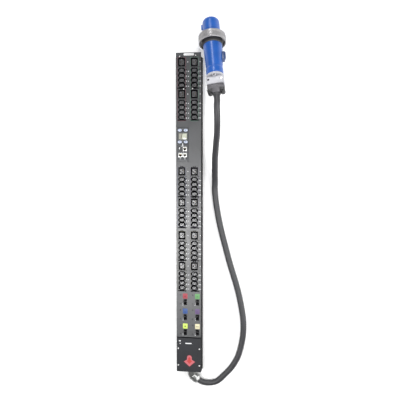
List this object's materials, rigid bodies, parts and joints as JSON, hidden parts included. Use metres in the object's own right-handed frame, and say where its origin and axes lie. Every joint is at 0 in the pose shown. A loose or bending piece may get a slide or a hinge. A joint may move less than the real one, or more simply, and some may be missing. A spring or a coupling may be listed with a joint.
{
  "type": "rack power strip",
  "caption": "Long black vertical rack power strip with two columns of outlets, a control module, breakers, an end cover, and a heavy cord ending in a blue pin-and-sleeve plug.",
  "frame": {"origin": "under the middle of the strip's casing, on its back face, cord and plug left out", "axes": "+X across the strip to the cord's side, +Y along it towards the slotted ear, +Z out of the outlet face"},
  "size_m": [0.3001, 1.5909, 0.2084],
  "materials": {
    "black_paint": "satin black powder coat",
    "cover_paint": "satin black powder coat",
    "outlet_plastic": "moulded black",
    "module_plastic": "moulded black",
    "display_glass": "clear window over a pale display",
    "button_plastic": "silvery blue",
    "jack_shell": "plated sheet",
    "circuit_board": "green solder mask",
    "breaker_plastic": "moulded black",
    "toggle_plastic": "moulded black",
    "copper": "bare copper bar",
    "zinc": "zinc plated",
    "brass": "bare",
    "blue_plastic": "moulded blue",
    "ring_grey": "silvery grey",
    "clamp_grey": "pale grey",
    "clamp_metal": "dark grey casting",
    "cord_rubber": "smooth black sheath"
  },
  "bodies": {
    "casing": {"rear_channel": "black_paint", "front_panel": "black_paint", "top_end_bracket": "black_paint", "bottom_end_plate": "black_paint", "end_cover": "cover_paint", "outlet_bank_1": "outlet_plastic", "outlet_bank_2": "outlet_plastic", "outlet_bank_3": "outlet_plastic", "outlet_bank_4": "outlet_plastic", "outlet_bank_5": "outlet_plastic", "outlet_bank_6": "outlet_plastic", "outlet_bank_7": "outlet_plastic", "outlet_bank_8": "outlet_plastic", "outlet_bank_9": "outlet_plastic", "outlet_bank_10": "outlet_plastic", "outlet_bank_11": "outlet_plastic", "outlet_bank_12": "outlet_plastic", "control_faceplate": "module_plastic", "display_module": "display_glass", "network_jack_pair": "jack_shell", "serial_jack": "jack_shell", "usb_port": "jack_shell", "control_board": "circuit_board", "metering_board": "circuit_board", "breaker_body_1": "breaker_plastic", "breaker_body_2": "breaker_plastic", "breaker_body_3": "breaker_plastic", "breaker_body_4": "breaker_plastic", "breaker_body_5": "breaker_plastic", "breaker_body_6": "breaker_plastic", "busbar_left_line": "copper", "busbar_left_return": "copper", "busbar_right_line": "copper", "busbar_right_return": "copper", "terminal_block": "module_plastic", "ground_stud": "brass", "gland_body": "zinc", "gland_nut": "zinc", "plug_sleeve": "blue_plastic", "plug_contact_carrier": "outlet_plastic", "plug_body": "blue_plastic", "plug_clamp_flange": "clamp_grey", "plug_clamp_upper": "clamp_metal", "plug_clamp_lower": "clamp_metal", "plug_clamp_bolt_1": "zinc", "plug_clamp_bolt_2": "zinc", "power_cord": "cord_rubber"},
    "plug_ring": {"plug_locking_ring": "ring_grey"},
    "toggle_1": {"breaker_toggle_1": "toggle_plastic"},
    "toggle_2": {"breaker_toggle_2": "toggle_plastic"},
    "toggle_3": {"breaker_toggle_3": "toggle_plastic"},
    "toggle_4": {"breaker_toggle_4": "toggle_plastic"},
    "toggle_5": {"breaker_toggle_5": "toggle_plastic"},
    "toggle_6": {"breaker_toggle_6": "toggle_plastic"},
    "button_1": {"menu_button_1": "button_plastic"},
    "button_2": {"menu_button_2": "button_plastic"},
    "button_3": {"menu_button_3": "button_plastic"},
    "button_4": {"menu_button_4": "button_plastic"}
  },
  "joints": [
    {"name": "toggle_1_swing", "type": "hinge", "parent": "casing", "child": "toggle_1", "pos_m": [-0.0156, -0.377, 0.048], "axis": [1, 0, 0], "range_deg": [0, 40]},
    {"name": "toggle_2_swing", "type": "hinge", "parent": "casing", "child": "toggle_2", "pos_m": [0.0378, -0.377, 0.048], "axis": [1, 0, 0], "range_deg": [0, 40]},
    {"name": "toggle_3_swing", "type": "hinge", "parent": "casing", "child": "toggle_3", "pos_m": [-0.0156, -0.4432, 0.048], "axis": [1, 0, 0], "range_deg": [0, 40]},
    {"name": "toggle_4_swing", "type": "hinge", "parent": "casing", "child": "toggle_4", "pos_m": [0.0378, -0.4432, 0.048], "axis": [1, 0, 0], "range_deg": [0, 40]},
    {"name": "toggle_5_swing", "type": "hinge", "parent": "casing", "child": "toggle_5", "pos_m": [-0.0156, -0.5094, 0.048], "axis": [1, 0, 0], "range_deg": [0, 40]},
    {"name": "toggle_6_swing", "type": "hinge", "parent": "casing", "child": "toggle_6", "pos_m": [0.0378, -0.5094, 0.048], "axis": [1, 0, 0], "range_deg": [0, 40]},
    {"name": "button_1_press", "type": "slide", "parent": "casing", "child": "button_1", "axis": [0, 0, -1], "range_m": [0, 0.0012], "stiffness_N_per_m": 900},
    {"name": "button_2_press", "type": "slide", "parent": "casing", "child": "button_2", "axis": [0, 0, -1], "range_m": [0, 0.0012], "stiffness_N_per_m": 900},
    {"name": "button_3_press", "type": "slide", "parent": "casing", "child": "button_3", "axis": [0, 0, -1], "range_m": [0, 0.0012], "stiffness_N_per_m": 900},
    {"name": "button_4_press", "type": "slide", "parent": "casing", "child": "button_4", "axis": [0, 0, -1], "range_m": [0, 0.0012], "stiffness_N_per_m": 900},
    {"name": "plug_ring_turn", "type": "hinge", "parent": "casing", "child": "plug_ring", "pos_m": [0.10201, 0.73312, 0.06857], "axis": [0.123, -0.8979, 0.4226], "range_deg": [0, 35]}
  ]
}
